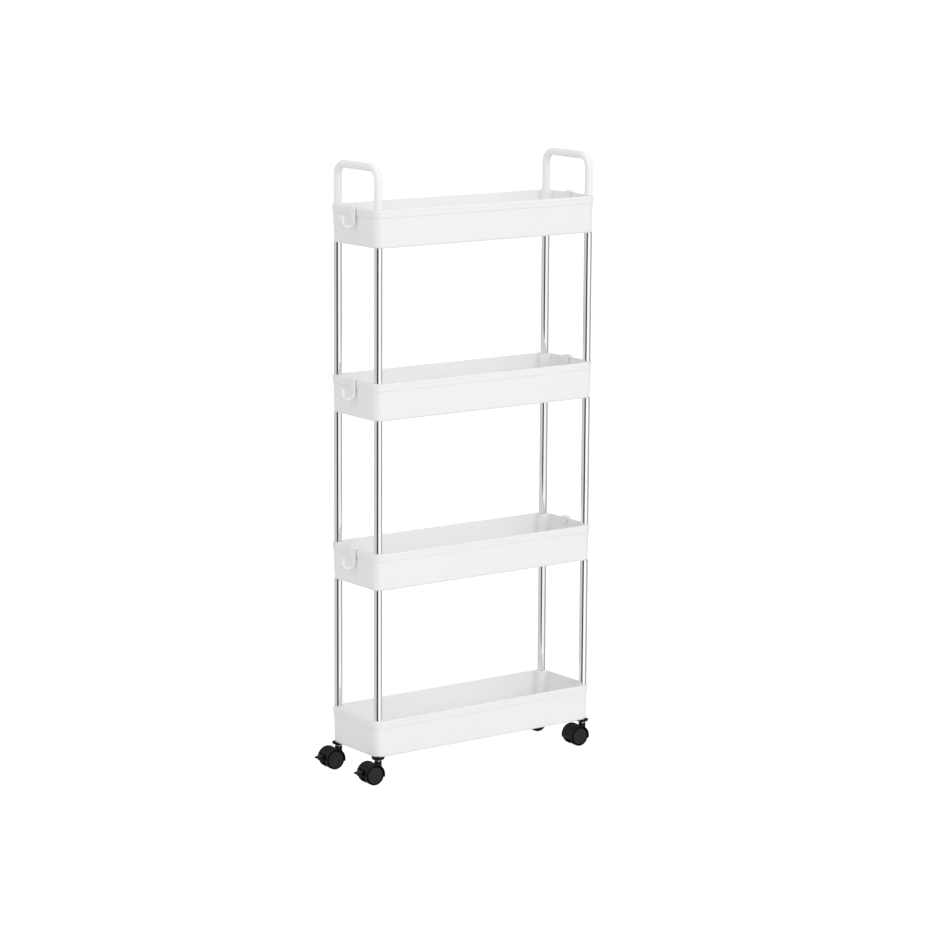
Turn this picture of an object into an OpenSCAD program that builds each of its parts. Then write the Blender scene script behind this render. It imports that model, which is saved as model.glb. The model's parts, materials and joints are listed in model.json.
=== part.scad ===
// Slim four-tier rolling storage cart.
// Four moulded trays stand on push-fit chrome posts, with a bar handle at each
// end, hooks on the end rims and twin-wheel casters under the lowest tray.
// Origin: on the floor, under the centre of the trays. +X runs along the
// trays, +Y across them towards the back, +Z up. Millimetres.

/* [Frame] */
// Distance between the post axes along the trays
post_span_x = 380; // [340:5:440]
// Distance between the post axes across the trays
post_span_y = 104; // [100:2:160]
// Rise from one tray rim to the next
tier_rise = 250; // [180:5:320]
// Height of the lowest rim above the floor
low_rim_z = 93.5; // [90:0.5:110]
// Outer diameter of the posts
post_d = 12; // [11.5:0.5:13]
// Wall thickness of the posts
post_wall = 0.8; // [0.6:0.1:1]

/* [Trays] */
// Height of a tray from its underside to its rim
tray_h = 55; // [45:1:56]
// Distance from the post axes to the rim's end faces
rim_reach_x = 10; // [9.5:0.5:12]
// Distance from the post axes to the rim's side faces
rim_reach_y = 10.5; // [9.5:0.5:12]
// Plan radius of the rim's corners
corner_r = 15; // [14:0.5:18]
// Height of the rim band
rim_h = 11; // [8:1:14]
// How far the top of the rim band stands out from the body
rim_over = 1.7; // [1.2:0.1:2.5]
// How far the bottom of the rim band stands out from the body
rim_step = 0.8; // [0.4:0.1:1]
// How far each wall leans in from the rim to the underside
draft = 1.2; // [0.6:0.1:1.5]
// Thickness of the tray walls
wall = 2; // [1.6:0.1:2.4]
// Thickness of the tray floor
floor_t = 2.5; // [2:0.1:3.5]
// Radius of the edge between walls and underside
foot_r = 3; // [2:0.5:4]
// Diameter of the corner columns that hold the posts
boss_d = 17.5; // [16:0.5:18]
// Depth of the sockets at each end of a corner column
socket_depth = 22; // [18:1:24]

/* [Handles] */
// Diameter of the handle bar
handle_d = 12; // [11:0.5:13]
// Height of the handle's top above the rim
handle_rise = 65.5; // [50:0.5:90]
// Bend radius of the handle, on the bar's axis
handle_bend_r = 17.5; // [14:0.5:24]

/* [Hooks] */
// Width of a hook
hook_w = 11.5; // [10:0.5:20]
// Thickness of the hook's strap and prong
hook_t = 3.2; // [2.4:0.2:4]
// Depth of the hook's bowl below the rim
hook_drop = 28; // [22:0.5:32]
// How far the hook stands out from the rim
hook_reach = 23.3; // [20:0.1:28]
// Height of the prong above the bottom of the bowl
prong_h = 17.7; // [13:0.1:19]
// Distance of a hook from the middle of its end of the tray
hook_offset = 4; // [0:0.5:10]

/* [Casters] */
// Diameter of the caster wheels
wheel_d = 30; // [28:1:33]
// Width of one wheel
wheel_w = 8.5; // [7.5:0.1:10]
// Distance from the stem axis back to the axle
trail = 12.3; // [11:0.1:13]
// Plan angle of the casters as they stand
caster_turn = -2.5; // [-30:0.1:30]
// Diameter of the caster stems
stem_d = 6; // [5:0.5:6]
// Diameter of the axles
axle_d = 4; // [3:0.5:5]
// Diameter of the dished socket flange under each corner
cup_d = 20; // [18:0.5:22]

/* [Hidden] */
CORNERS = ["fl", "fr", "bl", "br"];
BRAKED = ["fl", "bl"];
ENDS = ["left", "right"];
CASTER_PIECES = [
    "caster_socket", "caster_stem", "grip_ring", "caster_hood", "axle",
    "wheel_front", "wheel_rear"
];

$fn = 64;
eps = 0.01;             // overshoot of cutting shapes
fit = 0.05;             // radial clearance of a running or push fit

half_x = post_span_x / 2;
half_y = post_span_y / 2;
rim_x = half_x + rim_reach_x;           // rim's end faces
rim_y = half_y + rim_reach_y;           // rim's side faces
core_x = rim_x - corner_r;              // centres of the corner arcs
core_y = rim_y - corner_r;
body_r = corner_r - rim_over;           // corner radius under the rim
foot_corner_r = body_r - draft;         // corner radius at the underside
post_r = post_d / 2;
spigot_r = post_r - 1;                  // reduced ends of posts and handles
spigot_l = socket_depth - 2;
gap_h = tier_rise - tray_h;             // visible length of a post
low_tray_z = low_rim_z - tray_h;        // underside of the lowest tray

hook_gap = 0.3;                         // hook to rim
hook_leg = 10;                          // inner leg's length below the rim
hook_top = 3;                           // bridge's height over the rim
hook_bend = 9.5;                        // outer radius of the bowl's corners

wheel_r = wheel_d / 2;
web_w = 8.4;                            // hood's middle web, between the wheels
wheel_in = web_w / 2 + 0.5;             // inner face of a wheel
wheel_gap = 0.3;                        // tread to hood
hood_in_r = wheel_r + wheel_gap;
hood_r = hood_in_r + 1;
hood_w = 2 * (wheel_in + wheel_w) + 0.8;
hood_low_z = 11;                        // lower edge of the hood
hood_top_z = 32.2;                      // top of the stem housing
housing_r = 5.5;
cup_low_z = low_tray_z - 4;             // underside of the socket flange
lever_pin = [-trail - 9.8, 19];         // brake pivot, along the caster and up
lever_w = 5;
shoe_w = 17;
lever_tip = [-trail - 29.1, 19.8];
lever_back = -trail - hood_in_r;        // just behind the treads
window_top_z = 23.4;                    // top of the brake's window in the fender

function corner_x(c) = (c[1] == "l" ? -1 : 1) * half_x;
function corner_y(c) = (c[0] == "f" ? -1 : 1) * half_y;
function is_braked(c) = c == BRAKED[0] || c == BRAKED[1];
function rim_z(tier) = low_rim_z + (tier - 1) * tier_rise;

// A block whose outline is a rectangle of corner centres rolled round by the
// profile given as child: x is the reach from the corner centre, y the height.
module rolled_block(cx, cy, h) {
    for (sx = [-1, 1], sy = [-1, 1])
        translate([sx * cx, sy * cy, 0]) rotate_extrude() children();
    rotate([90, 0, 0]) linear_extrude(2 * cy, center = true) {
        for (m = [0, 1]) mirror([m, 0]) translate([cx, 0]) children();
        translate([-cx, 0]) square([2 * cx, h]);
    }
    rotate([90, 0, 90]) linear_extrude(2 * cx, center = true)
        for (m = [0, 1]) mirror([m, 0]) translate([cy, 0]) children();
}

// Half profile of a wall that leans out from r0 to r1, with a rounded foot
module leaning_profile(r0, r1, h, round_r) {
    polygon([[0, 0], [r0 - round_r, 0], [r0, round_r], [r1, h], [0, h]]);
    translate([r0 - round_r, round_r]) circle(round_r);
}

module at_posts() {
    for (sx = [-1, 1], sy = [-1, 1]) translate([sx * half_x, sy * half_y, 0]) children();
}

// Moulded tray: drafted walls, flared rim band and a socketed column in each
// corner; its underside is at z = 0 here
module tray_shape() {
    difference() {
        union() {
            rolled_block(core_x, core_y, tray_h - rim_h)
                leaning_profile(foot_corner_r, body_r, tray_h - rim_h, foot_r);
            translate([0, 0, tray_h - rim_h]) rolled_block(core_x, core_y, rim_h)
                polygon([[0, 0], [body_r + rim_step, 0], [corner_r, rim_h], [0, rim_h]]);
        }
        difference() {
            translate([0, 0, floor_t]) rolled_block(core_x, core_y, tray_h)
                polygon([
                    [0, 0], [foot_corner_r - wall, 0],
                    [body_r - wall, tray_h - floor_t], [body_r - wall, tray_h], [0, tray_h]
                ]);
            at_posts() cylinder(d = boss_d, h = tray_h);
        }
        at_posts() {
            translate([0, 0, -eps]) cylinder(r = spigot_r + fit, h = socket_depth + eps);
            translate([0, 0, tray_h - socket_depth])
                cylinder(r = spigot_r + fit, h = socket_depth + eps);
        }
    }
}

module tray(tier) {
    color("whitesmoke") translate([0, 0, rim_z(tier) - tray_h]) tray_shape();
}

// Chrome tube with its ends drawn down to enter the tray sockets
module post(gap, c) {
    bore_r = post_r - post_wall;
    spigot_bore_r = spigot_r - post_wall;
    color("silver") translate([corner_x(c), corner_y(c), rim_z(gap)]) difference() {
        union() {
            cylinder(r = post_r, h = gap_h);
            translate([0, 0, -spigot_l]) cylinder(r = spigot_r, h = gap_h + 2 * spigot_l);
        }
        translate([0, 0, 1]) cylinder(r = bore_r, h = gap_h - 2);
        translate([0, 0, -spigot_l - eps])
            cylinder(r = spigot_bore_r, h = gap_h + 2 * (spigot_l + eps));
    }
}

// Bar bent into a wide U, with its reduced feet in the top tray's sockets
module handle(end) {
    leg_h = handle_rise - handle_d / 2 - handle_bend_r;
    bar_y = half_y - handle_bend_r;
    color("white") translate([(end == "left" ? -1 : 1) * half_x, 0, rim_z(4)]) {
        for (s = [0, 1]) mirror([0, s, 0]) {
            translate([0, half_y, 0]) cylinder(d = handle_d, h = leg_h);
            translate([0, half_y, -spigot_l]) cylinder(r = spigot_r, h = spigot_l + 1);
            translate([0, bar_y, leg_h]) rotate([90, 0, 90])
                rotate_extrude(angle = 90) translate([handle_bend_r, 0]) circle(d = handle_d);
        }
        translate([0, 0, leg_h + handle_bend_r]) rotate([90, 0, 0])
            cylinder(d = handle_d, h = 2 * bar_y, center = true);
    }
}

// Hook outline in the plane across the rim: x = 0 is the rim's end face and
// y = 0 its top
module hook_outline() {
    leg_in = -rim_over - wall - hook_gap - 2.4;
    bridge_l = hook_gap + hook_t - leg_in;
    edge_r = 2.4;
    shoulder_z = hook_top - edge_r;
    bowl_in = hook_bend - hook_t;
    prong_x = hook_reach - hook_t;
    // bridge over the rim
    intersection() {
        translate([leg_in, 0]) square([bridge_l, hook_top]);
        union() {
            translate([leg_in + edge_r, 0]) square([bridge_l - 2 * edge_r, hook_top]);
            for (x = [leg_in + edge_r, leg_in + bridge_l - edge_r])
                translate([x, shoulder_z]) circle(edge_r);
        }
    }
    // inner leg
    translate([leg_in, 1 - hook_leg]) square([2, hook_leg - 1 + shoulder_z]);
    translate([leg_in + 1, 1 - hook_leg]) circle(1);
    // strap, bowl and prong
    translate([hook_gap, hook_bend - hook_drop]) square([hook_t, hook_drop - hook_bend + shoulder_z]);
    translate([hook_gap + hook_bend, -hook_drop])
        square([hook_reach - hook_gap - 2 * hook_bend, hook_t]);
    for (s = [0, 1]) translate([s ? hook_reach - hook_bend : hook_gap + hook_bend, hook_bend - hook_drop])
        intersection() {
            difference() {
                circle(hook_bend);
                circle(bowl_in);
            }
            translate([s ? 0 : -hook_bend, -hook_bend]) square(hook_bend);
        }
    translate([prong_x, hook_bend - hook_drop])
        square([hook_t, prong_h - hook_bend - hook_t / 2]);
    translate([prong_x + hook_t / 2, prong_h - hook_drop - hook_t / 2]) circle(hook_t / 2);
}

module hook(tier, end) {
    color("white") translate([0, 0, rim_z(tier)]) rotate([0, 0, end == "left" ? 180 : 0])
        translate([rim_x, hook_offset + hook_w / 2, 0])
            rotate([90, 0, 0]) linear_extrude(hook_w) hook_outline();
}

// Places a caster piece: children are drawn with the stem on the Z axis and
// the wheels trailing towards -X
module at_caster(c) {
    translate([corner_x(c), corner_y(c), 0]) rotate([0, 0, caster_turn]) children();
}

// Plug that fills the corner's lower socket, with a dished flange below it
module caster_socket(c) {
    cup_r = cup_d / 2;
    color("black") at_caster(c) difference() {
        union() {
            translate([0, 0, cup_low_z]) rotate_extrude() difference() {
                polygon([
                    [0, 0], [cup_r - 3.6, 0], [cup_r - 1.2, 1], [cup_r, 3.9],
                    [cup_r - 1.2, 3.9], [cup_r - 2.2, 1.6], [spigot_r + 1.5, 1.6],
                    [spigot_r + 1.5, 4], [0, 4]
                ]);
            }
            translate([0, 0, low_tray_z - 1]) cylinder(r = spigot_r, h = spigot_l + 1);
        }
        translate([0, 0, cup_low_z - eps]) cylinder(d = stem_d + 2 * fit, h = spigot_l - 1);
        translate([0, 0, low_tray_z + 7]) cylinder(d = stem_d + 1.2, h = 5);
    }
}

// Steel stem: turned journal in the hood, collar under the flange and a
// grooved top in the socket
module caster_stem(c) {
    foot_z = 13.2;
    top_z = low_tray_z + 14;
    color("silver") at_caster(c) difference() {
        union() {
            translate([0, 0, foot_z]) cylinder(d = stem_d, h = top_z - foot_z);
            translate([0, 0, hood_top_z + 0.2])
                cylinder(d = stem_d + 1.6, h = cup_low_z - hood_top_z - 0.2);
        }
        translate([0, 0, low_tray_z + 7.5]) difference() {
            cylinder(d = stem_d + 1, h = 4);
            translate([0, 0, -eps]) cylinder(d = stem_d - 1, h = 4 + 2 * eps);
        }
    }
}

// Split spring ring that sits in the stem's groove and grips the socket
module grip_ring(c) {
    color("dimgray") at_caster(c) translate([0, 0, low_tray_z + 7.6]) difference() {
        cylinder(d = stem_d + 1, h = 3.8);
        translate([0, 0, -eps]) cylinder(d = stem_d - 0.8, h = 4);
        translate([0, -0.6, -eps]) cube([stem_d, 1.2, 4]);
    }
}

// Lies a shape down across the caster, centred on the axle
module at_axle() {
    translate([-trail, 0, wheel_r]) rotate([90, 0, 0]) children();
}

// Hood: fender over both wheels, middle web with the axle boss, and the
// slotted housing that turns on the stem
module caster_hood(c) {
    color("#1c1c1e") at_caster(c) difference() {
        union() {
            at_axle() cylinder(r = hood_r, h = hood_w, center = true);
            cylinder(r = housing_r, h = hood_top_z);
        }
        // space for the wheels
        for (s = [-1, 1]) at_axle() translate([0, 0, s * (web_w + hood_w) / 2])
            cylinder(r = hood_in_r, h = hood_w, center = true);
        // open underside
        translate([-50, -50, -50 + hood_low_z]) cube([100, 100, 50]);
        at_axle() cylinder(d = axle_d, h = web_w + 1, center = true);
        translate([0, 0, 13]) cylinder(d = stem_d + 2 * fit, h = hood_top_z);
        // slot across the top of the housing
        translate([-1.8, -housing_r - 1, hood_top_z - 4]) cube([2, 2 * housing_r + 2, 5]);
        if (is_braked(c)) brake_space();
    }
}

// Room for the brake lever: a slot in the web and a window in the fender,
// both open below
module brake_space() {
    slot_w = lever_w + 0.6;
    space_h = window_top_z - hood_low_z + 1;
    translate([-trail - hood_r - 1, 0, hood_low_z - 1]) {
        translate([0, -slot_w / 2, 0])
            cube([lever_pin[0] + 2.8 + trail + hood_r + 1, slot_w, space_h]);
        difference() {
            translate([0, -shoe_w / 2 - 0.4, 0]) cube([8, shoe_w + 0.8, space_h]);
            translate([hood_r + 1, 0, wheel_r - hood_low_z + 1]) rotate([90, 0, 0])
                cylinder(r = hood_in_r - 0.1, h = web_w, center = true);
        }
    }
    at_brake_pin() cylinder(d = 2, h = web_w + 1, center = true);
}

module at_brake_pin() {
    translate([lever_pin[0], 0, lever_pin[1]]) rotate([90, 0, 0]) children();
}

module axle(c) {
    axle_l = 2 * (wheel_in + wheel_w - 2.4);
    color("silver") at_caster(c) at_axle() cylinder(d = axle_d, h = axle_l, center = true);
}

// Wheel: plain tread, closed and slightly domed face, blind bore. side is -1
// for the wheel towards -Y and 1 for the one towards +Y
module wheel(c, side) {
    bore_r = axle_d / 2 + fit;
    color("#262628") at_caster(c) translate([-trail, side * wheel_in, wheel_r])
        rotate([side * -90, 0, 0]) rotate_extrude() polygon([
            [bore_r, 0], [wheel_r - 0.7, 0], [wheel_r, 0.7], [wheel_r, wheel_w - 0.9],
            [wheel_r - 0.9, wheel_w], [wheel_r - 2, wheel_w], [wheel_r - 2.5, wheel_w - 0.5],
            [4, wheel_w], [0, wheel_w], [0, wheel_w - 2], [bore_r, wheel_w - 2]
        ]);
}

// Pedal: arm on the pin, a shoe that meets both treads and a pointed toe tab
module brake_lever(c) {
    color("#1c1c1e") at_caster(c) difference() {
        union() {
            at_brake_pin() cylinder(d = 5, h = lever_w, center = true);
            // arm
            rotate([90, 0, 0]) linear_extrude(lever_w, center = true) polygon([
                lever_pin + [0, 2.5], lever_pin + [0, -2.5],
                [lever_back - 1.1, wheel_r - 1.5], [lever_back - 1.1, wheel_r + 6.4]
            ]);
            // shoe
            rotate([90, 0, 0]) linear_extrude(shoe_w, center = true) polygon([
                [lever_back - 0.85, wheel_r - 2.5], [lever_back - 0.85, wheel_r + 2.4],
                [lever_back - 2.4, wheel_r + 2.8], [lever_back - 2.4, wheel_r - 2.1]
            ]);
            // toe tab, wide at the root and pointed at the end
            intersection() {
                rotate([90, 0, 0]) linear_extrude(shoe_w, center = true) polygon([
                    [lever_back - 0.85, wheel_r - 2.3], [lever_back - 0.85, wheel_r + 6.6],
                    lever_tip + [5, 1.4], lever_tip + [0, 0.6], lever_tip + [0, -0.6],
                    lever_tip + [5, -2.6]
                ]);
                linear_extrude(40) polygon([
                    [lever_back, -5], [lever_back, 5], [lever_back - 4.6, 5], [lever_tip[0], 1.5],
                    [lever_tip[0], -1.5], [lever_back - 4.6, -5]
                ]);
            }
        }
        at_brake_pin() cylinder(d = 2 + 2 * fit, h = shoe_w, center = true);
    }
}

module brake_pin(c) {
    color("silver") at_caster(c) at_brake_pin() cylinder(d = 2, h = web_w, center = true);
}

for (tier = [1:4])
    tray(tier);
for (gap = [1:3], c = CORNERS)
    post(gap, c);
for (end = ENDS)
    handle(end);
for (tier = [2:4], end = ENDS)
    hook(tier, end);
for (c = CORNERS) {
    caster_socket(c);
    caster_stem(c);
    grip_ring(c);
    caster_hood(c);
    axle(c);
    wheel(c, -1);
    wheel(c, 1);
}
for (c = BRAKED) {
    brake_lever(c);
    brake_pin(c);
}
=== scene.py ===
"""Slim four-tier rolling cart: moulded trays, chrome posts, bar handles, hooks and twin-wheel casters."""
import json
import math

import bmesh
import bpy
import numpy as np
from mathutils import Matrix, Vector


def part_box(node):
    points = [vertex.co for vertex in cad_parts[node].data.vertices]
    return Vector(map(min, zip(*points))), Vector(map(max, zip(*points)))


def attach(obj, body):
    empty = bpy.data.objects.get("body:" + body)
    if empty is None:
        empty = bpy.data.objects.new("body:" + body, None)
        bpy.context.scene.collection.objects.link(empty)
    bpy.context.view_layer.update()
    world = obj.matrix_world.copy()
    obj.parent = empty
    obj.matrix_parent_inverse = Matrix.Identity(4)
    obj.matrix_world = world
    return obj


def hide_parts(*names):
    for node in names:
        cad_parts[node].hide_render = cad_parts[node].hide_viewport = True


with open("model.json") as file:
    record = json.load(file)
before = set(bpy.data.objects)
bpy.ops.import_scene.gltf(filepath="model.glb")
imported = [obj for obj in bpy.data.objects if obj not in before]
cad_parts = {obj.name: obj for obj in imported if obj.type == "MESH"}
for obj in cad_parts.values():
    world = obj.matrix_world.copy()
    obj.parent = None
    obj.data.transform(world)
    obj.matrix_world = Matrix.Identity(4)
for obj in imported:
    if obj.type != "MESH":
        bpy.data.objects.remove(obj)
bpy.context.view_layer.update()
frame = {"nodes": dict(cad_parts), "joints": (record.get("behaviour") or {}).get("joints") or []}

MM = 0.001
scene = bpy.context.scene

# ---------------------------------------------------------------- studio ----
# The room round the cart: a pale floor that glows a little, a surround with
# bright patches at the front, the left and the back, two weak soft boxes,
# and a ring of cards that only shiny surfaces see.


class Wire:
    """An output socket that sums can be written with: w + 1, 1 - w and a * b each add a Math node."""

    def __init__(self, tree, socket):
        self.tree = tree
        self.socket = socket

    @classmethod
    def node(cls, tree, kind, settings=(), inputs=(), out=0):
        """One node of any kind: its settings first, then the numbers, colours or wires of its inputs."""
        made = tree.nodes.new(kind)
        for key, value in dict(settings).items():
            setattr(made, key, value)
        for key, value in dict(inputs).items():
            if isinstance(value, Wire):
                tree.links.new(value.socket, made.inputs[key])
            else:
                made.inputs[key].default_value = value
        return cls(tree, made.outputs[out] if made.outputs else None)

    def math(self, operation, a, b=0.0):
        return Wire.node(self.tree, "ShaderNodeMath", {"operation": operation}, {0: a, 1: b})

    def into(self, socket):
        self.tree.links.new(self.socket, socket)

    def __add__(self, other):
        return self.math("ADD", self, other)

    def __sub__(self, other):
        return self.math("SUBTRACT", self, other)

    def __rsub__(self, other):
        return self.math("SUBTRACT", other, self)

    def __mul__(self, other):
        return self.math("MULTIPLY", self, other)

    __radd__ = __add__
    __rmul__ = __mul__


scene.view_settings.view_transform = "Standard"

view_azimuth, view_elevation, view_roll = np.radians([-36.149, 10.612, 0.337])
view_distance = 4.8735
aim_height, aim_right = 0.4391, 0.00985
lens_mm, sensor_mm, view_limit = 125.05, 36, 100


def heading(bearing, elevation):
    """Unit vector at a bearing from the front (-Y) towards +X and an elevation above level, in radians."""
    level = math.cos(elevation)
    return Vector((math.sin(bearing) * level, -math.cos(bearing) * level, math.sin(elevation)))


back = heading(view_azimuth, view_elevation)
level_right = (-back).cross(Vector((0, 0, 1))).normalized()
level_up = level_right.cross(-back)
right = level_right * math.cos(view_roll) + level_up * math.sin(view_roll)
up = level_up * math.cos(view_roll) - level_right * math.sin(view_roll)
camera = bpy.data.objects.new("camera", bpy.data.cameras.new("camera"))
camera.data.lens = lens_mm
camera.data.sensor_width = sensor_mm
camera.data.clip_end = view_limit
camera.matrix_world = Matrix((
    (right.x, up.x, back.x, 0), (right.y, up.y, back.y, 0), (right.z, up.z, back.z, 0), (0, 0, 0, 1),
))
camera.location = Vector((0, 0, aim_height)) + right * aim_right + back * view_distance
scene.collection.objects.link(camera)
scene.camera = camera

# The surround's brightness is even + sky * height squared, and each patch adds
# its peak * (direction . middle) ** sharpness. A patch is given as bearing and
# elevation in degrees, peak and sharpness.
even_light, sky_light = 0.30, 0.19
patches = [(6, 30, 2.06, 8), (-88, 28, 0.97, 6), (145, 34, 1.1, 6)]
scene.world = bpy.data.worlds.new("surround")
scene.world.use_nodes = True
tree = scene.world.node_tree
tree.nodes.clear()
ray = Wire.node(tree, "ShaderNodeTexCoord")
height = Wire.node(tree, "ShaderNodeSeparateXYZ", {}, {0: ray}, "Z")
seen = Wire.node(tree, "ShaderNodeLightPath", out="Is Camera Ray")
glow = even_light + height * height * sky_light
for bearing, elevation, peak, sharpness in patches:
    middle = heading(math.radians(bearing), math.radians(elevation))
    facing = Wire.node(tree, "ShaderNodeVectorMath", {"operation": "DOT_PRODUCT"}, {
        0: ray, 1: middle}, "Value")
    glow += facing.math("POWER", facing.math("MAXIMUM", facing, 0.0), sharpness) * peak
surround = Wire.node(tree, "ShaderNodeBackground", {}, {
    "Color": (1, 1, 1, 1), "Strength": seen + (1 - seen) * glow})
Wire.node(tree, "ShaderNodeOutputWorld", {}, {"Surface": surround})

cart_middle = Vector((0, 0, 0.45))


def soft_box(name, place, size, watts):
    """A square soft box at place, aimed at the middle of the cart and left out of the picture."""
    lamp = bpy.data.objects.new(name, bpy.data.lights.new(name, "AREA"))
    lamp.data.size = size
    lamp.data.energy = watts
    lamp.location = place
    lamp.rotation_mode = "QUATERNION"
    lamp.rotation_quaternion = (Vector(place) - cart_middle).to_track_quat("Z", "Y")
    lamp.visible_camera = False
    scene.collection.objects.link(lamp)


soft_box("key_box", (1.5, -3.4, 2.0), 1.6, 9)
soft_box("top_box", (-0.2, 0.2, 3.2), 2.2, 5)


def skin(name, points, faces):
    """A mesh object from rows of points and lists of corner numbers."""
    mesh = bpy.data.meshes.new(name)
    mesh.from_pydata(np.asarray(points, float).tolist(), [], faces)
    mesh.update()
    made = bpy.data.objects.new(name, mesh)
    scene.collection.objects.link(made)
    return made


def glowing(name, shade):
    """A grey surface that only shines."""
    material = bpy.data.materials.new(name)
    material.use_nodes = True
    nodes = material.node_tree
    nodes.nodes.clear()
    light = Wire.node(nodes, "ShaderNodeEmission", {}, {"Color": (shade, shade, shade, 1), "Strength": 1.0})
    Wire.node(nodes, "ShaderNodeOutputMaterial", {}, {"Surface": light})
    return material


floor_half = 45.0
floor_shade, floor_glow, floor_glow_seen = 0.30, 0.50, 0.92
floor = skin("floor", [
    (-floor_half, -floor_half, 0), (floor_half, -floor_half, 0), (floor_half, floor_half, 0),
    (-floor_half, floor_half, 0),
], [(0, 1, 2, 3)])
paper = bpy.data.materials.new("white_paper")
paper.use_nodes = True
sheet = paper.node_tree.nodes["Principled BSDF"].inputs
sheet["Base Color"].default_value = (floor_shade, floor_shade, floor_shade, 1)
sheet["Roughness"].default_value = 0.9
sheet["Specular IOR Level"].default_value = 0.0
sheet["Emission Strength"].default_value = 1.0
seen = Wire.node(paper.node_tree, "ShaderNodeLightPath", out="Is Camera Ray")
Wire.node(paper.node_tree, "ShaderNodeMix", {"data_type": "RGBA"}, {
    "Factor": seen, 6: (floor_glow, floor_glow, floor_glow, 1),
    7: (floor_glow_seen, floor_glow_seen, floor_glow_seen, 1),
}, 2).into(sheet["Emission Color"])
floor.data.materials.append(paper)
floor.visible_glossy = False

# A card is given as its first and last bearing in degrees and its brightness
cards = [(-78, -30, 0.06), (-30, 40, 1.10), (40, 120, 0.40), (120, 205, 0.50), (205, 284, 0.64)]
card_reach, card_low, card_top, card_steps = 2.6, -2.5, 3.5, 13
for number, (first, last, shade) in enumerate(cards):
    bearing = np.radians(np.linspace(first, last, card_steps))
    foot = np.stack([np.sin(bearing), -np.cos(bearing)], 1) * card_reach
    rows = np.concatenate([np.c_[foot, np.full(card_steps, z)] for z in (card_low, card_top)])
    panels = [(i, i + 1, i + 1 + card_steps, i + card_steps) for i in range(card_steps - 1)]
    card = skin(f"card_{number}", rows, panels)
    card.data.materials.append(glowing(f"card_{number}", shade))
    card.visible_camera = False
    card.visible_diffuse = False
    card.visible_shadow = False
    card.visible_transmission = False

# ----------------------------------------------------------------- trays ----
# Four injection-moulded polypropylene trays. The walls lean out towards a
# flared rim band with a lip, a round column in each corner takes the posts,
# and the underside has a shallow recess inside the corner pads.


def rounded(path, steps=6, support=0.4 * MM):
    """A line through (x, y, radius) points whose corners are arcs of that radius.

    An arc touches its two straights at radius / tan(half the corner's angle)
    from the corner. A support point stands just before and just after it.
    """
    out = []
    for i, (x, y, radius) in enumerate(path):
        here = np.array([x, y], float)
        if radius == 0 or i in (0, len(path) - 1):
            out.append(here)
            continue
        before = np.array(path[i - 1][:2], float) - here
        after = np.array(path[i + 1][:2], float) - here
        room_before, room_after = np.linalg.norm(before), np.linalg.norm(after)
        before, after = before / room_before, after / room_after
        half = math.acos(np.clip(before @ after, -1, 1)) / 2
        reach = radius / math.tan(half)
        middle = here + (before + after) / np.linalg.norm(before + after) * radius / math.sin(half)
        start, stop = here + before * reach, here + after * reach
        first, last = (math.atan2(*(p - middle)[::-1]) for p in (start, stop))
        turn = (last - first + math.pi) % (2 * math.pi) - math.pi
        if room_before > reach + 2 * support:
            out.append(start + before * support)
        angle = first + turn * np.linspace(0, 1, steps + 1)
        out.extend(middle + radius * np.stack([np.cos(angle), np.sin(angle)], 1))
        if room_after > reach + 2 * support:
            out.append(stop + after * support)
    return np.array(out)


def loft(name, rings, around=False, crease_degrees=38):
    """A closed skin over rings of points: ring i joins ring i + 1, and point j joins point j + 1.

    The end rings get flat caps, or meet each other when around. The skin is
    turned outwards by the sign of the volume that its triangles enclose.
    """
    rings = np.asarray(rings, float)
    count, size = rings.shape[:2]
    i, j = np.meshgrid(np.arange(count if around else count - 1), np.arange(size), indexing="ij")
    nxt, side = (i + 1) % count, (j + 1) % size
    quads = np.stack([i * size + j, i * size + side, nxt * size + side, nxt * size + j], -1)
    faces = quads.reshape(-1, 4).tolist()
    if not around:
        faces += [list(range(size))[::-1], list(range((count - 1) * size, count * size))]
    made = skin(name, rings.reshape(-1, 3), faces)
    mesh = made.data
    mesh.calc_loop_triangles()
    corners = np.zeros(len(mesh.loop_triangles) * 3, np.int32)
    mesh.loop_triangles.foreach_get("vertices", corners)
    a, b, c = rings.reshape(-1, 3)[corners.reshape(-1, 3).T]
    if np.einsum("ij,ij->i", a, np.cross(b, c)).sum() < 0:
        mesh.flip_normals()
    mesh.polygons.foreach_set("use_smooth", [True] * len(mesh.polygons))
    mesh.set_sharp_from_angle(angle=math.radians(crease_degrees))
    return made


def arc(centre, radius, start, stop, count):
    """Points on a circle from angle start to angle stop."""
    angle = np.linspace(start, stop, count)
    return np.asarray(centre) + radius * np.stack([np.cos(angle), np.sin(angle)], 1)


tray_low, tray_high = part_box("tray_1")
post_low, post_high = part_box("post_1_br")
post_x, post_y = ((post_low + post_high) / 2)[:2]
tray_height = tray_high.z - tray_low.z
corner_radius = 15 * MM
core_x, core_y = tray_high.x - corner_radius, tray_high.y - corner_radius
rim_over, rim_step, rim_height = 1.7 * MM, 0.8 * MM, 11 * MM
wall, draft, floor_thickness = 2 * MM, 1.2 * MM, 2.5 * MM
column_radius, column_fillet = 8.75 * MM, 3.6 * MM
corner_points, fillet_points = 56, 12


def outer_corner(reach):
    """The quarter circle of that radius round the corner centre, from +X to +Y."""
    return arc((core_x, core_y), reach, 0, math.pi / 2, corner_points)


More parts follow.
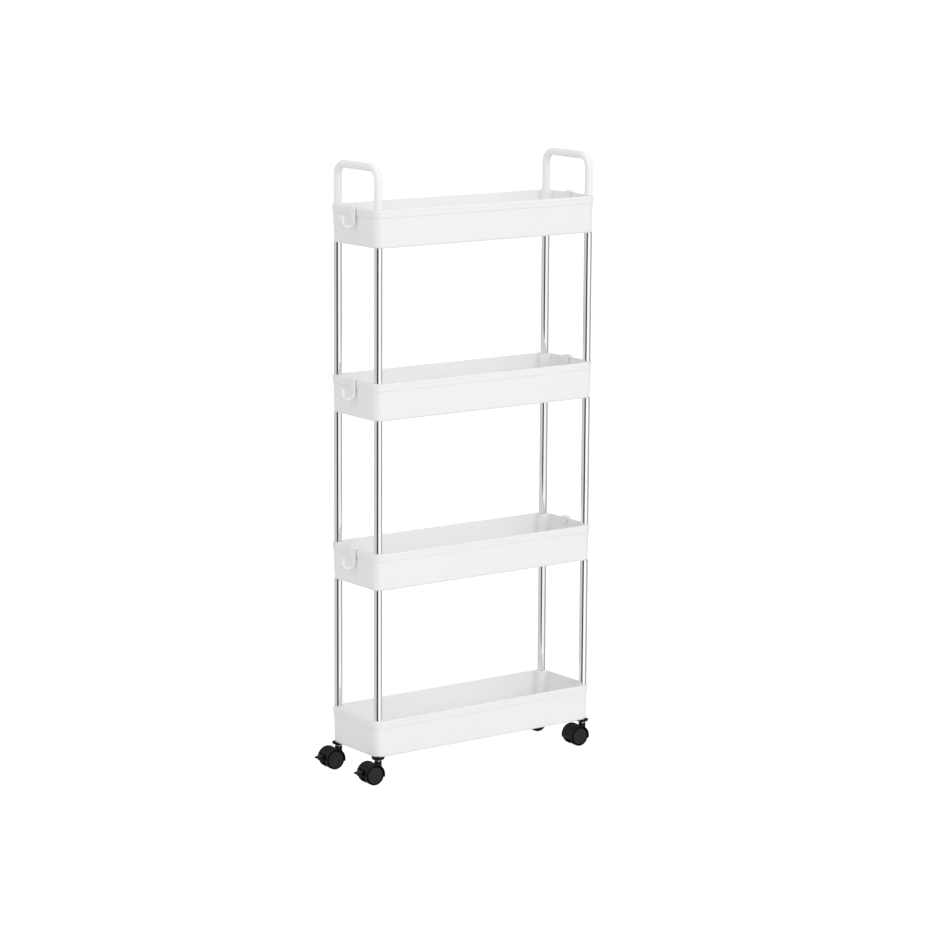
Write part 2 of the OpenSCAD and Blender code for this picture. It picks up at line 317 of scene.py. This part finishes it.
def inner_corner(reach, column=column_radius, fillet=column_fillet):
    """The inside of a corner: wall, fillet, round column, fillet, wall.

    A fillet touches a wall line and the column's circle, so its centre is one
    fillet in from the wall and column + fillet away from the post's axis. The
    sizes hold at the rim; further in, column grows and fillet shrinks alike.
    """
    shift = reach - (corner_radius - rim_over - wall)
    column, fillet = column - shift, fillet + shift
    post = np.array([post_x, post_y])
    near_x, near_y = core_x + reach - fillet, core_y + reach - fillet
    first = np.array([near_x, post_y - math.sqrt((column + fillet) ** 2 - (near_x - post_x) ** 2)])
    last = np.array([post_x - math.sqrt((column + fillet) ** 2 - (near_y - post_y) ** 2), near_y])
    first_turn = math.atan2(*(post - first)[::-1])
    last_turn = math.atan2(*(post - last)[::-1])
    column_points = corner_points - 2 * fillet_points + 2
    return np.concatenate([
        arc(first, fillet, 0, first_turn, fillet_points),
        arc(post, column, first_turn - math.pi, last_turn - math.pi, column_points)[1:-1],
        arc(last, fillet, last_turn, math.pi / 2, fillet_points),
    ])


def all_round(corner, z):
    """A closed ring at height z from one corner, mirrored into the other three."""
    left = corner[::-1] * [-1, 1]
    ring = np.concatenate([corner, left, -corner, -left])
    return np.c_[ring, np.full(len(ring), z)]


def tray_skin(name, base_z):
    """A tray as one closed skin.

    It goes from the recess underneath up the outside, over the rim and down
    the inside to the floor. A ring's first number is how far the wall stands
    out from the corner's centre, its second is the height.
    """
    body, foot = corner_radius - rim_over, corner_radius - rim_over - draft
    foot_edge, rim_edge, inner_edge, floor_edge = 3 * MM, 1.7 * MM, 0.8 * MM, 1.7 * MM
    fine, support = 0.1 * MM, 0.3 * MM
    band_z, groove_depth, groove_height = tray_height - rim_height, 0.35 * MM, 0.7 * MM
    lip_z, lip_out, lip_height, flare_end = tray_height - 4 * MM, 0.28 * MM, 0.25 * MM, 0.35 * MM
    outside = rounded([
        (foot - 3.2 * MM, 0, 0), (foot, 0, foot_edge), (body, band_z - groove_height - 0.2 * MM, 0.15 * MM),
        (body - groove_depth, band_z - groove_height, fine), (body - groove_depth, band_z, fine),
        (body + rim_step, band_z, 0.35 * MM), (corner_radius - flare_end - lip_out, lip_z, fine),
        (corner_radius - flare_end, lip_z + lip_height, 0.12 * MM), (corner_radius, tray_height, rim_edge),
        (corner_radius - 2 * MM, tray_height, 0),
    ], support=support)
    top_wall, low_wall = body - wall, body - wall - draft
    inside = rounded([
        (top_wall + 1.4 * MM, tray_height, 0), (top_wall, tray_height, inner_edge),
        (low_wall, floor_thickness, floor_edge), (low_wall - 1.75 * MM, floor_thickness, 0),
    ], support=support)
    recess = 0.8 * MM
    under = [(-3.4 * MM, recess), (-3.0 * MM, recess), (-2.8 * MM, recess - 0.2 * MM), (-2.6 * MM, 0)]
    pad_column, pad_fillet = 9.8 * MM, 4.2 * MM
    rings = [all_round(inner_corner(low_wall + reach, pad_column, pad_fillet), z) for reach, z in under]
    rings += [all_round(outer_corner(reach), z) for reach, z in outside]
    rings += [all_round(inner_corner(reach), z) for reach, z in inside]
    return loft(name, np.array(rings) + [0, 0, base_z])


def surface(name, base, roughness, settings=()):
    """A material with one Principled shader, given as its tree and the shader's inputs."""
    material = bpy.data.materials.new(name)
    material.use_nodes = True
    inputs = material.node_tree.nodes["Principled BSDF"].inputs
    for key, value in {"Base Color": (*base, 1), "Roughness": roughness, **dict(settings)}.items():
        inputs[key].default_value = value
    return material, material.node_tree, inputs


def moulded(name, base, roughness, grain_mm, grain_height_mm, settings=(), drift_mm=110, tone=0.02):
    """Moulded or coated finish: fine grain in the bump, and a slow drift of gloss and tone."""
    material, nodes, inputs = surface(name, base, roughness, settings)
    gloss_drift, gloss_grain = 0.12, 0.10
    place = Wire.node(nodes, "ShaderNodeTexCoord", out="Object")
    grain = Wire.node(nodes, "ShaderNodeTexNoise", {}, {
        "Vector": place, "Scale": 1000 / grain_mm, "Detail": 3.0})
    drift = Wire.node(nodes, "ShaderNodeTexNoise", {}, {
        "Vector": place, "Scale": 1000 / drift_mm, "Detail": 2.0})
    (roughness + (drift - 0.5) * gloss_drift + (grain - 0.5) * gloss_grain).into(inputs["Roughness"])
    darker, lighter = ((*(min(c * k, 1) for c in base), 1) for k in (1 - tone, 1 + tone))
    Wire.node(nodes, "ShaderNodeMix", {"data_type": "RGBA"}, {
        "Factor": drift, 6: darker, 7: lighter}, 2).into(inputs["Base Color"])
    Wire.node(nodes, "ShaderNodeBump", {}, {
        "Height": grain, "Distance": grain_height_mm * MM, "Strength": 1.0}).into(inputs["Normal"])
    return material


def dress(piece, material, body, slot, *nodes):
    """Gives a new piece its material and body, and hides the CAD nodes that it stands for; slot is not used.
    """
    piece.data.materials.append(material)
    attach(piece, body)
    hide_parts(*nodes)


tray_plastic = moulded("tray_white", (0.90, 0.90, 0.895), 0.42, 0.7, 0.006)
for tier in range(1, 5):
    tray = tray_skin(f"tray_{tier}_shell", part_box(f"tray_{tier}")[0].z)
    dress(tray, tray_plastic, "cart", "tray_white", f"tray_{tier}")

# ----------------------------------------------------------------- posts ----
# Twelve thin-walled steel tubes, chrome plated. Each end is swaged down to a
# shouldered spigot that pushes into a tray's corner column.


def turned(name, profile, foot, axis=(0, 0, 1), sides=48, around=False):
    """A turned piece: each (radius, along) point becomes a circle of that radius round the axis.

    The circle's centre is foot + along * axis. With around, the profile closes
    on itself and the piece is a ring or tube.
    """
    axis = np.asarray(axis, float) / np.linalg.norm(axis)
    across = np.cross(axis, [0, 0, 1] if abs(axis[2]) < 0.9 else [1, 0, 0])
    across /= np.linalg.norm(across)
    third = np.cross(axis, across)
    angle = np.linspace(0, 2 * math.pi, sides, endpoint=False)
    circle = np.cos(angle)[:, None] * across + np.sin(angle)[:, None] * third
    profile = np.asarray(profile, float)
    rings = np.asarray(foot) + profile[:, :1, None] * circle + (profile[:, 1:2] * axis)[:, None]
    return loft(name, rings, around)


bar_radius = (post_high.x - post_low.x) / 2
spigot_radius, spigot_length, tube_wall = bar_radius - 1 * MM, 20 * MM, 0.8 * MM


def tube_profile(length):
    """A tube from 0 to length with a spigot beyond each shoulder; the bore follows one wall inside."""
    soft, tight, shoulder = 0.3 * MM, 0.05 * MM, 0.45 * MM
    outside = [
        (spigot_radius, -spigot_length, soft), (spigot_radius, 0, tight), (bar_radius, 0, shoulder),
        (bar_radius, length, shoulder), (spigot_radius, length, tight),
        (spigot_radius, length + spigot_length, soft),
    ]
    bore, waist = bar_radius - tube_wall, spigot_radius - tube_wall
    inside = [
        (waist, length + spigot_length, soft), (waist, length - tube_wall, tight),
        (bore, length - 2 * tube_wall, soft), (bore, 2 * tube_wall, soft),
        (waist, tube_wall, tight), (waist, -spigot_length, soft),
    ]
    return np.concatenate([rounded(outside, steps=4, support=soft), rounded(inside, steps=3, support=soft)])


draw_scale, draw_height_mm = (900, 900, 14), 0.001
gloss_least, gloss_span = 0.035, 0.07
chrome, chrome_nodes, chrome_inputs = surface("post_chrome", (0.93, 0.935, 0.94), 0.06, {"Metallic": 1.0})
place = Wire.node(chrome_nodes, "ShaderNodeTexCoord", out="Object")
stretched = Wire.node(chrome_nodes, "ShaderNodeVectorMath", {"operation": "MULTIPLY"}, {
    0: place, 1: draw_scale})
draw_lines = Wire.node(chrome_nodes, "ShaderNodeTexNoise", {}, {
    "Vector": stretched, "Scale": 1.0, "Detail": 2.0})
(gloss_least + draw_lines * gloss_span).into(chrome_inputs["Roughness"])
Wire.node(chrome_nodes, "ShaderNodeBump", {}, {
    "Height": draw_lines, "Distance": draw_height_mm * MM, "Strength": 0.5}).into(chrome_inputs["Normal"])

corners = {"fl": (-1, -1), "fr": (1, -1), "bl": (-1, 1), "br": (1, 1)}
for gap in range(1, 4):
    for corner, (side_x, side_y) in corners.items():
        node = f"post_{gap}_{corner}"
        low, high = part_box(node)
        length = high.z - low.z - 2 * spigot_length
        foot = (side_x * post_x, side_y * post_y, low.z + spigot_length)
        tube = turned(f"post_{gap}_{corner}_tube", tube_profile(length), foot, around=True)
        dress(tube, chrome, "cart", "post_chrome", node)

# --------------------------------------------------------------- handles ----
# Two steel bars bent into a wide U and powder coated white. Their feet are
# turned down and pushed into the top tray's end columns.


def carried(name, path, outlines, across):
    """A piece carried along a flat path, with an outline of its own at every path point.

    Point j of outline i sits at path i + x * across + y * normal i. The normal
    lies in the path's plane, square to the line between the path point's two
    neighbours.
    """
    path, across = np.asarray(path, float), np.asarray(across, float)
    along = np.gradient(path, axis=0)
    normal = np.cross(across, along)
    normal /= np.linalg.norm(normal, axis=1, keepdims=True)
    rings = path[:, None] + outlines[:, :, :1] * across + outlines[:, :, 1:] * normal[:, None]
    return loft(name, rings)


def along_path(points, step):
    """A flat path's straights cut into pieces of at most step."""
    out = [points[0]]
    for a, b in zip(points[:-1], points[1:]):
        pieces = max(1, int(np.linalg.norm(b - a) / step))
        out.extend(a + (b - a) * k / pieces for k in range(1, pieces + 1))
    return np.array(out)


rim_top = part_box("tray_4")[1].z
handle_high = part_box("handle_left")[1].z - bar_radius
bend_radius = 17.5 * MM
coat = moulded("handle_white", (0.94, 0.94, 0.95), 0.40, 0.9, 0.003, {
    "Coat Weight": 0.15, "Coat Roughness": 0.3})
bar_sides = 40
turn = np.linspace(0, 2 * math.pi, bar_sides, endpoint=False)
bar_circle = np.stack([np.cos(turn), np.sin(turn)], 1)
foot_chamfer, shoulder_chamfer = 0.4 * MM, 0.4 * MM
foot_points = [
    (spigot_radius - foot_chamfer, -spigot_length), (spigot_radius, foot_chamfer - spigot_length),
    (spigot_radius, -0.1 * MM), (bar_radius - shoulder_chamfer, 0), (bar_radius - 0.1 * MM, 0.15 * MM),
    (bar_radius, 0.5 * MM),
]
for end, side_x in (("left", -1), ("right", 1)):
    bend = rounded([
        (-post_y, rim_top, 0), (-post_y, handle_high, bend_radius), (post_y, handle_high, bend_radius),
        (post_y, rim_top, 0),
    ], steps=24)
    feet = np.array([(-post_y, rim_top + z) for _, z in foot_points])
    bar = along_path(bend[1:-1], 12 * MM)
    flat = np.concatenate([feet, bar, feet[::-1] * [-1, 1]])
    radii = np.array([r for r, _ in foot_points])
    radii = np.concatenate([radii, np.full(len(bar), bar_radius), radii[::-1]])
    path = np.c_[np.full(len(flat), side_x * post_x), flat]
    handle = carried(f"handle_{end}_bar", path, radii[:, None, None] * bar_circle, (1, 0, 0))
    dress(handle, coat, "cart", "handle_white", f"handle_{end}")

# ----------------------------------------------------------------- hooks ----
# Six moulded hooks hung over the end rims: a short leg inside, a bridge over
# the rim, and a ribbed strap that turns up into an open bowl and a prong.

hook_low, hook_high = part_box("hook_4_right")
hook_width = hook_high.y - hook_low.y
hook_middle = (hook_high.y + hook_low.y) / 2
strap_thick, leg_thick, bridge_thick = 3.2 * MM, 2 * MM, 3 * MM
strap_gap, bowl_bend, leg_length = 0.3 * MM, 9.5 * MM, 10 * MM
bridge_bend, leg_slack = 1.7 * MM, 0.4 * MM
prong_top = 17.7 * MM - (rim_top - hook_low.z)
rib_height, rib_start, rib_fade, prong_length = 0.4 * MM, 14 * MM, 3 * MM, 4 * MM
hook_plastic = moulded("hook_white", (0.91, 0.91, 0.91), 0.44, 0.6, 0.002)


def hook_outline(thick, rib_inside, rib_outside):
    """One cross section of a hook: a rounded bar as wide as the hook, with a flat rib on each face."""
    half, deep, edge = hook_width / 2, thick / 2, min(0.7 * MM, thick * 0.3)
    rib_half, rib_edge = 1.7 * MM, 0.25 * MM
    quarter = arc((half - edge, deep - edge), edge, 0, math.pi / 2, 5)

    def face(rib):
        side = np.concatenate([quarter, [[rib_half + rib_edge, deep], [rib_half, deep + rib]]])
        return np.concatenate([side, side[::-1] * [-1, 1]])

    return np.concatenate([face(rib_inside), (face(rib_outside) * [1, -1])[::-1]])


def hook_skin(name, side_x, tier_rim):
    """A hook from its centre line across the rim: distance out from the tray's end, height above the rim.

    Its ends are blunted as half circles: thickness * sqrt(1 - (1 - t) ** 2),
    with t from 0 to 1 over the last half thickness.
    """
    leg = -rim_over - wall - strap_gap - leg_slack - leg_thick / 2
    strap, prong = strap_gap + strap_thick / 2, hook_high.x - tray_high.x - strap_thick / 2
    low = hook_low.z - rim_top + strap_thick / 2
    bend = bowl_bend - strap_thick / 2
    line = along_path(rounded([
        (leg, -leg_length, 0), (leg, bridge_thick / 2, 1.5 * MM), (strap, bridge_thick / 2, bridge_bend),
        (strap, low, bend), (prong, low, bend), (prong, prong_top, 0),
    ], steps=12), 1.2 * MM)
    run = np.r_[0, np.cumsum(np.linalg.norm(np.diff(line, axis=0), axis=1))]
    to_end = np.minimum(run, run[-1] - run)
    thick = np.interp(
        line[:, 0], [leg, leg + 1 * MM, strap - 1 * MM, strap],
        [leg_thick, bridge_thick, bridge_thick, strap_thick])
    blunt = np.sqrt(np.clip(1 - (1 - np.clip(to_end / (thick / 2), 0, 1)) ** 2, 0.02, 1))
    shown = np.clip((run - rib_start) / rib_fade, 0, 1)
    shown = shown * np.clip((run[-1] - run - 2 * MM) / (2 * MM), 0, 1)
    on_prong = np.clip((line[:, 0] - (prong - prong_length)) / rib_fade, 0, 1)
    outlines = np.array([
        hook_outline(t * k, rib_height * s, rib_height * s * p)
        for t, k, s, p in zip(thick, blunt, shown, on_prong)
    ])
    path = np.c_[
        side_x * (tray_high.x + line[:, 0]), np.full(len(line), side_x * hook_middle), tier_rim + line[:, 1]]
    return carried(name, path, outlines, (0, side_x, 0))


for tier in (2, 3, 4):
    for end, side_x in (("left", -1), ("right", 1)):
        hook = hook_skin(f"hook_{tier}_{end}_strap", side_x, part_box(f"tray_{tier}")[1].z)
        dress(hook, hook_plastic, f"hook_{tier}_{end}", "hook_white", f"hook_{tier}_{end}")

# ------------------------------------------- caster sockets and stems ----
# A black nylon plug fills each lower socket, in one piece with a dished
# flange. The zinc-plated stem has a collar, and a split spring ring grips it.

joints = {joint["name"]: joint for joint in frame["joints"]}
low_tray_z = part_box("tray_1")[0].z
stem_radius = 3 * MM
socket_nylon = moulded("socket_black", (0.010, 0.010, 0.011), 0.42, 0.5, 0.010, {"Specular IOR Level": 0.2})
hood_nylon = moulded("hood_black", (0.007, 0.007, 0.008), 0.36, 0.6, 0.012, {"Specular IOR Level": 0.15})
steel = moulded("caster_steel", (0.76, 0.76, 0.74), 0.34, 0.9, 0.004, {"Metallic": 1.0})
spring = moulded("spring_steel", (0.42, 0.42, 0.43), 0.30, 0.9, 0.004, {"Metallic": 1.0})


def keep_cad(node, material):
    """A CAD piece whose shape is right keeps its mesh and gets the material."""
    kept = frame["nodes"][node]
    kept.data.materials.clear()
    kept.data.materials.append(material)


flange_drop, flange_radius, flange_top, rib_radius = 4 * MM, 10 * MM, 3.9 * MM, 6.5 * MM
plug_foot, plug_top, plug_roof, plug_hole = 3.98 * MM, 24 * MM, 22.9 * MM, 1.2 * MM
stem_hole, hole_chamfer, fine, support = stem_radius + 0.05 * MM, 0.3 * MM, 0.1 * MM, 0.2 * MM
# A profile point is given as its radius, its height above the flange's foot and its rounding
flange = rounded([
    (6.2 * MM, 0, 0), (6.4 * MM, 0, 1 * MM), (8.9 * MM, 1.0 * MM, 1.2 * MM),
    (flange_radius, flange_top, 0.3 * MM), (8.9 * MM, flange_top, 0.3 * MM),
    (7.8 * MM, 1.7 * MM, 0.6 * MM), (rib_radius, 1.6 * MM, 0.3 * MM), (rib_radius, plug_foot, fine),
    (spigot_radius, plug_foot, fine), (spigot_radius, plug_top, 0.5 * MM), (plug_hole, plug_top, 0),
    (plug_hole, plug_roof, 0), (stem_hole, plug_roof, 0), (stem_hole, hole_chamfer, 0),
    (stem_hole + hole_chamfer, 0, 0),
], steps=4, support=support)
collar_low, collar_high, collar_radius = 32.4 * MM, low_tray_z - flange_drop, stem_radius + 0.8 * MM
groove_low, groove_high, groove_radius = low_tray_z + 7.5 * MM, low_tray_z + 11.5 * MM, stem_radius - 0.5 * MM
pin_foot_chamfer, pin_top_chamfer = 0.6 * MM, 0.8 * MM
for corner in corners:
    centre = Vector(joints[f"swivel_{corner}"]["pos_m"])
    foot = (centre.x, centre.y, collar_high)
    socket = turned(f"caster_socket_{corner}_cup", flange, foot, around=True)
    dress(socket, socket_nylon, "cart", "socket_black", f"caster_socket_{corner}")
    low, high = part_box(f"caster_stem_{corner}")
    pin = rounded([
        (stem_radius - pin_foot_chamfer, low.z, 0), (stem_radius, low.z + pin_foot_chamfer, 0.2 * MM),
        (stem_radius, collar_low, 0.05 * MM), (collar_radius, collar_low, 0.25 * MM),
        (collar_radius, collar_high, 0.2 * MM), (stem_radius, collar_high, 0.05 * MM),
        (stem_radius, groove_low, fine), (groove_radius, groove_low, fine),
        (groove_radius, groove_high, fine), (stem_radius, groove_high, fine),
        (stem_radius, high.z - pin_top_chamfer, 0.3 * MM), (stem_radius - pin_top_chamfer, high.z, 0),
    ], steps=4, support=support)
    stem = turned(f"caster_stem_{corner}_pin", pin, (centre.x, centre.y, 0))
    dress(stem, steel, "cart", "caster_steel", f"caster_stem_{corner}")
    keep_cad(f"grip_ring_{corner}", spring)

# ----------------------------------------------------- hoods and axles ----
# Glass-filled nylon hoods: a fender over both wheels, a middle web with the
# axle pressed in, and a slotted housing that turns on the stem. Low ridges
# run round the fender.


def softened(name, node, edge, segments=2):
    """A copy of a CAD piece: loose triangles merged, flat faces joined, sharp edges rounded."""
    merge_reach, flat_degrees, edge_degrees, crease_degrees = 0.004 * MM, 1.2, 35, 40
    mesh = frame["nodes"][node].data.copy()
    mesh.name = name
    made = bpy.data.objects.new(name, mesh)
    scene.collection.objects.link(made)
    mesh.materials.clear()
    work = bmesh.new()
    work.from_mesh(mesh)
    bmesh.ops.remove_doubles(work, verts=work.verts, dist=merge_reach)
    bmesh.ops.dissolve_limit(
        work, angle_limit=math.radians(flat_degrees), verts=work.verts, edges=work.edges)
    bmesh.ops.recalc_face_normals(work, faces=work.faces)
    work.to_mesh(mesh)
    work.free()
    bevel = made.modifiers.new("edges", "BEVEL")
    bevel.width = edge
    bevel.segments = segments
    bevel.limit_method = "ANGLE"
    bevel.angle_limit = math.radians(edge_degrees)
    bevel.use_clamp_overlap = True
    mesh.polygons.foreach_set("use_smooth", [True] * len(mesh.polygons))
    mesh.set_sharp_from_angle(angle=math.radians(crease_degrees))
    return made


hood_radius, hood_half, housing_half = 16.3 * MM, 13.6 * MM, 6.4 * MM
ridge_points, ridge_rise, ridge_run_out, ridge_sunk = 40, 0.40 * MM, 0.12, 0.2 * MM
ridge_base, ridge_crown = 0.65 * MM, 0.35 * MM
ridge_first, ridge_last, ridge_last_at_housing = 38, 128, 100
ridge_offsets = np.linspace(-hood_half + 2 * MM, hood_half - 2 * MM, 8)
for corner in corners:
    hood = softened(f"caster_hood_{corner}_shell", f"caster_hood_{corner}", 0.35 * MM)
    dress(hood, hood_nylon, f"caster_{corner}", "hood_black", f"caster_hood_{corner}")
    keep_cad(f"axle_{corner}", steel)

    centre = np.array(joints[f"wheel_front_{corner}_spin"]["pos_m"])
    across = np.array(joints[f"wheel_front_{corner}_spin"]["axis"])
    trailing = centre - np.array(joints[f"swivel_{corner}"]["pos_m"])
    trailing[2] = 0
    trailing /= np.linalg.norm(trailing)
    for number, offset in enumerate(ridge_offsets):
        last = ridge_last_at_housing if abs(offset) < housing_half else ridge_last
        angle = np.radians(np.linspace(ridge_first, last, ridge_points))
        from_end = np.minimum(angle - angle[0], angle[-1] - angle)
        rise = ridge_rise * np.clip(from_end / ridge_run_out, 0.02, 1)
        spoke = np.cos(angle)[:, None] * trailing + np.sin(angle)[:, None] * [0, 0, 1]
        path = centre + across * offset + spoke * (hood_radius - ridge_sunk)
        foot_edge, crown = np.full(ridge_points, -0.1 * MM), rise + ridge_sunk
        outlines = np.stack([
            np.stack([np.full(ridge_points, half_width), level], 1)
            for half_width, level in (
                (-ridge_base, foot_edge), (-ridge_crown, crown),
                (ridge_crown, crown), (ridge_base, foot_edge))
        ], 1)
        outward = np.sign(np.cross(across, path[1] - path[0]) @ spoke[0])
        outlines[:, :, 1] *= outward
        ridge = carried(f"hood_ridge_{corner}_{number}", path, outlines, across)
        ridge.data.materials.append(hood_nylon)
        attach(ridge, f"caster_{corner}")

# ---------------------------------------------------------------- wheels ----
# Solid nylon wheels in pairs on one axle. Each outer face is a matt dished
# disc inside a raised glossier ring. The tread, inner face and ring get a far
# darker copy of the disc's nylon: painted shade that stands for the dark
# reflection of the glossy ring.

wheel_radius, wheel_width, wheel_inner = 15 * MM, 8.5 * MM, 4.7 * MM
bore, bore_chamfer, bore_depth, hub_radius = 2.05 * MM, 0.3 * MM, wheel_width - 2 * MM, 0.6 * MM
inner_edge, outer_edge, ring_width, disc_edge = 0.7 * MM, 0.9 * MM, 2.4 * MM, 3.0 * MM
disc_reach, fine = wheel_radius - 2.8 * MM, 0.1 * MM
# Painted shade: the tread, inner face and ring get a base colour far darker than the disc's
tread_nylon_painted_shade = moulded("wheel_black", (0.002, 0.002, 0.002), 0.34, 0.8, 0.008, {"Specular IOR Level": 0.04})
disc_nylon = moulded("wheel_disc_black", (0.014, 0.014, 0.015), 0.50, 1.2, 0.10, {
    "Specular IOR Level": 0.22}, drift_mm=3, tone=0.8)
# A profile point is given as its radius, its distance from the inner face and its rounding
wheel_profile = rounded([
    (hub_radius, bore_depth, 0), (bore, bore_depth, fine), (bore, bore_chamfer, fine),
    (bore + bore_chamfer, 0, fine), (wheel_radius - inner_edge, 0, 0.4 * MM),
    (wheel_radius, inner_edge, 0.6 * MM), (wheel_radius, wheel_width - outer_edge, 0.8 * MM),
    (wheel_radius - outer_edge, wheel_width, 0.4 * MM), (wheel_radius - ring_width, wheel_width, 0.3 * MM),
    (wheel_radius - disc_edge, wheel_width - 0.6 * MM, 0.4 * MM), (8 * MM, wheel_width - 0.15 * MM, 5 * MM),
    (hub_radius, wheel_width, 0),
], steps=5, support=0.2 * MM)
for corner in corners:
    for place_name, side in (("front", 1), ("rear", -1)):
        node = f"wheel_{place_name}_{corner}"
        centre = np.array(joints[f"{node}_spin"]["pos_m"])
        out = np.array(joints[f"{node}_spin"]["axis"]) * side
        wheel = turned(f"{node}_tyre", wheel_profile, centre + out * wheel_inner, out, sides=72)
        dress(wheel, tread_nylon_painted_shade, node, "wheel_black", node)
        wheel.data.materials.append(disc_nylon)
        middles = np.zeros(len(wheel.data.polygons) * 3)
        wheel.data.polygons.foreach_get("center", middles)
        from_axle = middles.reshape(-1, 3) - centre
        depth = from_axle @ out
        radius = np.linalg.norm(from_axle - depth[:, None] * out, axis=1)
        on_disc = (depth > wheel_inner + wheel_width * 0.85) & (radius < disc_reach)
        wheel.data.polygons.foreach_set("material_index", on_disc.astype(np.int32))

# --------------------------------------------------------- brake levers ----
# The two left-hand casters have a nylon pedal on a steel pin: a shoe behind
# the treads and a toe tab that narrows to a point.

for corner in ("fl", "bl"):
    lever = softened(f"brake_lever_{corner}_pedal", f"brake_lever_{corner}", 0.4 * MM, 3)
    dress(lever, hood_nylon, f"brake_{corner}", "hood_black", f"brake_lever_{corner}")
    keep_cad(f"brake_pin_{corner}", steel)
